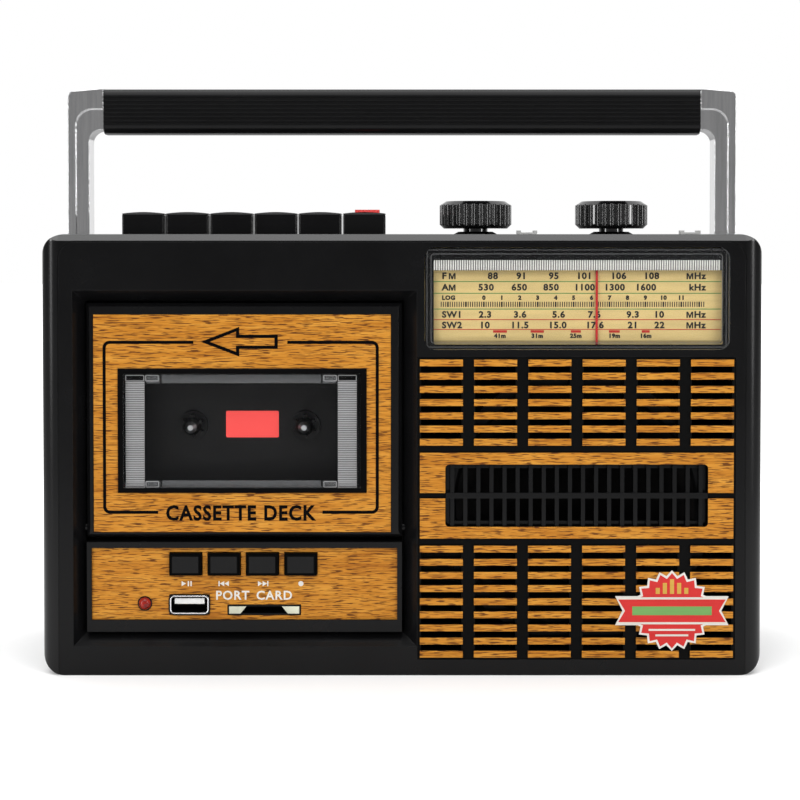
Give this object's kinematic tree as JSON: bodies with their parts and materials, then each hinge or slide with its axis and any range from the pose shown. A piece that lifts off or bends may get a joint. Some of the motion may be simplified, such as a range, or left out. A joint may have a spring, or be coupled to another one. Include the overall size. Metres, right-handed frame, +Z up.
{
  "type": "radio cassette player",
  "caption": "Portable radio cassette player with a carrying handle, piano keys, tuning dial, hinged cassette door, speaker grille and wood-print front.",
  "frame": {"origin": "middle of the flat underside", "axes": "+X to the right seen from the front, +Y to the rear, +Z up; the front faces -Y"},
  "size_m": [0.2646, 0.0832, 0.2174],
  "materials": {
    "black_plastic": "fine moulded texture",
    "black_gloss": "smooth moulded",
    "wood_print": "wood grain foil",
    "clear_plastic": "clear",
    "dial_print": "printed",
    "red_plastic": "smooth",
    "sticker_print": "printed film",
    "chrome_plate": "polished",
    "steel": "plain",
    "painted_frame": "satin",
    "cone_paper": "pressed paper",
    "circuit_board": "lacquered",
    "ferrite": "sintered",
    "rubber": "matt",
    "brass": "turned",
    "drum_plastic": "moulded"
  },
  "bodies": {
    "cabinet": {"front_shell": "black_plastic", "rear_cover": "black_plastic", "cabinet_screws": "steel", "speaker_grille": "wood_print", "vent_louvres": "black_plastic", "grille_sticker": "sticker_print", "speaker_frame": "painted_frame", "speaker_cone": "cone_paper", "dial_window": "clear_plastic", "dial_plate": "dial_print", "main_board": "circuit_board", "ferrite_antenna": "ferrite", "power_transformer": "ferrite", "ac_inlet": "black_plastic", "deck_chassis": "black_plastic", "deck_motor": "steel", "drive_belt": "rubber", "key_shaft": "steel", "control_bezel": "black_plastic", "control_panel": "wood_print", "control_board": "circuit_board", "usb_socket": "chrome_plate", "card_slot": "steel", "indicator_lamp": "red_plastic", "battery_contacts": "steel", "handle_pivots": "steel"},
    "handle": {"handle_arm_left": "chrome_plate", "handle_arm_right": "chrome_plate", "handle_grip": "black_plastic"},
    "door": {"door_frame": "black_plastic", "door_panel": "wood_print", "door_window": "clear_plastic", "cassette_holder": "black_plastic"},
    "pause_key": {"pause_key": "black_gloss"},
    "stop_eject_key": {"stop_eject_key": "black_gloss"},
    "fast_forward_key": {"fast_forward_key": "black_gloss"},
    "rewind_key": {"rewind_key": "black_gloss"},
    "play_key": {"play_key": "black_gloss"},
    "record_key": {"record_key": "black_gloss"},
    "mode_button": {"mode_button": "black_gloss"},
    "previous_button": {"previous_button": "black_gloss"},
    "next_button": {"next_button": "black_gloss"},
    "record_button": {"record_button": "black_gloss"},
    "volume_knob": {"volume_knob": "black_gloss"},
    "tuning_knob": {"tuning_knob": "black_gloss"},
    "dial_pointer": {"dial_pointer": "red_plastic"},
    "tuning_drum": {"tuning_drum": "drum_plastic"},
    "function_switch": {"function_switch": "black_gloss"},
    "band_switch": {"band_switch": "black_gloss"},
    "supply_spindle": {"supply_spindle": "black_gloss"},
    "take_up_spindle": {"take_up_spindle": "black_gloss"},
    "flywheel": {"flywheel": "steel"},
    "motor_pulley": {"motor_pulley": "brass"},
    "pinch_roller": {"pinch_roller": "rubber"},
    "head_bridge": {"head_bridge": "steel"},
    "battery_door": {"battery_door": "black_plastic"},
    "antenna_base": {"antenna_base": "chrome_plate"},
    "antenna_tube": {"antenna_tube": "chrome_plate"},
    "antenna_inner": {"antenna_inner": "chrome_plate"}
  },
  "joints": [
    {"name": "handle_fold", "type": "hinge", "parent": "cabinet", "child": "handle", "pos_m": [0, -0.001, 0.1464], "axis": [-1, 0, 0], "range_deg": [0, 90]},
    {"name": "door_hinge", "type": "hinge", "parent": "cabinet", "child": "door", "pos_m": [-0.0579, -0.0341, 0.0534], "axis": [1, 0, 0], "range_deg": [0, 30]},
    {"name": "pause_key_press", "type": "hinge", "parent": "cabinet", "child": "pause_key", "pos_m": [-0.0969, 0.004, 0.1549], "axis": [1, 0, 0], "range_deg": [0, 9], "stiffness_Nm_per_rad": 0.3},
    {"name": "stop_eject_key_press", "type": "hinge", "parent": "cabinet", "child": "stop_eject_key", "pos_m": [-0.08035, 0.004, 0.1549], "axis": [1, 0, 0], "range_deg": [0, 9], "stiffness_Nm_per_rad": 0.3},
    {"name": "fast_forward_key_press", "type": "hinge", "parent": "cabinet", "child": "fast_forward_key", "pos_m": [-0.0638, 0.004, 0.1549], "axis": [1, 0, 0], "range_deg": [0, 9], "stiffness_Nm_per_rad": 0.3},
    {"name": "rewind_key_press", "type": "hinge", "parent": "cabinet", "child": "rewind_key", "pos_m": [-0.04725, 0.004, 0.1549], "axis": [1, 0, 0], "range_deg": [0, 9], "stiffness_Nm_per_rad": 0.3},
    {"name": "play_key_press", "type": "hinge", "parent": "cabinet", "child": "play_key", "pos_m": [-0.0307, 0.004, 0.1549], "axis": [1, 0, 0], "range_deg": [0, 9], "stiffness_Nm_per_rad": 0.3},
    {"name": "record_key_press", "type": "hinge", "parent": "cabinet", "child": "record_key", "pos_m": [-0.01415, 0.004, 0.1549], "axis": [1, 0, 0], "range_deg": [0, 9], "stiffness_Nm_per_rad": 0.3},
    {"name": "mode_button_press", "type": "slide", "parent": "cabinet", "child": "mode_button", "axis": [0, 1, 0], "range_m": [0, 0.001], "stiffness_N_per_m": 400},
    {"name": "previous_button_press", "type": "slide", "parent": "cabinet", "child": "previous_button", "axis": [0, 1, 0], "range_m": [0, 0.001], "stiffness_N_per_m": 400},
    {"name": "next_button_press", "type": "slide", "parent": "cabinet", "child": "next_button", "axis": [0, 1, 0], "range_m": [0, 0.001], "stiffness_N_per_m": 400},
    {"name": "record_button_press", "type": "slide", "parent": "cabinet", "child": "record_button", "axis": [0, 1, 0], "range_m": [0, 0.001], "stiffness_N_per_m": 400},
    {"name": "volume_turn", "type": "hinge", "parent": "cabinet", "child": "volume_knob", "pos_m": [0.0285, -0.001, 0.1638], "axis": [0, 0, -1], "range_deg": [-150, 150]},
    {"name": "tuning_turn", "type": "hinge", "parent": "cabinet", "child": "tuning_knob", "pos_m": [0.0811, -0.001, 0.1638], "axis": [0, 0, -1], "range_deg": [-594, 322]},
    {"name": "pointer_travel", "type": "slide", "parent": "cabinet", "child": "dial_pointer", "axis": [1, 0, 0], "range_m": [-0.0415, 0.0225]},
    {"name": "drum_turn", "type": "hinge", "parent": "cabinet", "child": "tuning_drum", "pos_m": [0.0548, 0.011, 0.1464], "axis": [0, 0, -1], "range_deg": [-117, 64]},
    {"name": "function_slide", "type": "slide", "parent": "cabinet", "child": "function_switch", "axis": [1, 0, 0], "range_m": [-0.0025, 0.0025]},
    {"name": "band_slide", "type": "slide", "parent": "cabinet", "child": "band_switch", "axis": [1, 0, 0], "range_m": [-0.0025, 0.0025]},
    {"name": "supply_spin", "type": "hinge", "parent": "cabinet", "child": "supply_spindle", "pos_m": [-0.07915, -0.016, 0.0891], "axis": [0, 1, 0], "continuous": true},
    {"name": "take_up_spin", "type": "hinge", "parent": "cabinet", "child": "take_up_spindle", "pos_m": [-0.03665, -0.016, 0.0891], "axis": [0, 1, 0], "continuous": true},
    {"name": "flywheel_spin", "type": "hinge", "parent": "cabinet", "child": "flywheel", "pos_m": [-0.03665, -0.016, 0.1166], "axis": [0, 1, 0], "continuous": true},
    {"name": "motor_spin", "type": "hinge", "parent": "cabinet", "child": "motor_pulley", "pos_m": [-0.09265, -0.003, 0.1166], "axis": [0, 1, 0], "continuous": true},
    {"name": "bridge_travel", "type": "slide", "parent": "cabinet", "child": "head_bridge", "axis": [0, 0, -1], "range_m": [0, 0.0044], "stiffness_N_per_m": 400, "springref_m": -0.002},
    {"name": "roller_spin", "type": "hinge", "parent": "head_bridge", "child": "pinch_roller", "pos_m": [-0.03665, -0.02, 0.12775], "axis": [0, 1, 0], "continuous": true},
    {"name": "battery_door_hinge", "type": "hinge", "parent": "cabinet", "child": "battery_door", "pos_m": [-0.059, 0.0398, 0.0149], "axis": [-1, 0, 0], "range_deg": [0, 90]},
    {"name": "antenna_swivel", "type": "hinge", "parent": "cabinet", "child": "antenna_base", "pos_m": [0.104, 0.0356, 0.1544], "axis": [0, 0, -1], "range_deg": [0, 180]},
    {"name": "antenna_tilt", "type": "hinge", "parent": "antenna_base", "child": "antenna_tube", "pos_m": [0.104, 0.0356, 0.1578], "axis": [0, 1, 0], "range_deg": [0, 90]},
    {"name": "antenna_extend", "type": "slide", "parent": "antenna_tube", "child": "antenna_inner", "axis": [-1, 0, 0], "range_m": [0, 0.15]}
  ],
  "couplings": [
    {"joint": "pointer_travel", "follows": "tuning_turn", "m_per_rad": 0.004},
    {"joint": "drum_turn", "follows": "tuning_turn", "ratio": 0.19608},
    {"joint": "motor_spin", "follows": "flywheel_spin", "ratio": 4.2292},
    {"joint": "play_key_press", "follows": "bridge_travel", "rad_per_m": 35.69}
  ]
}
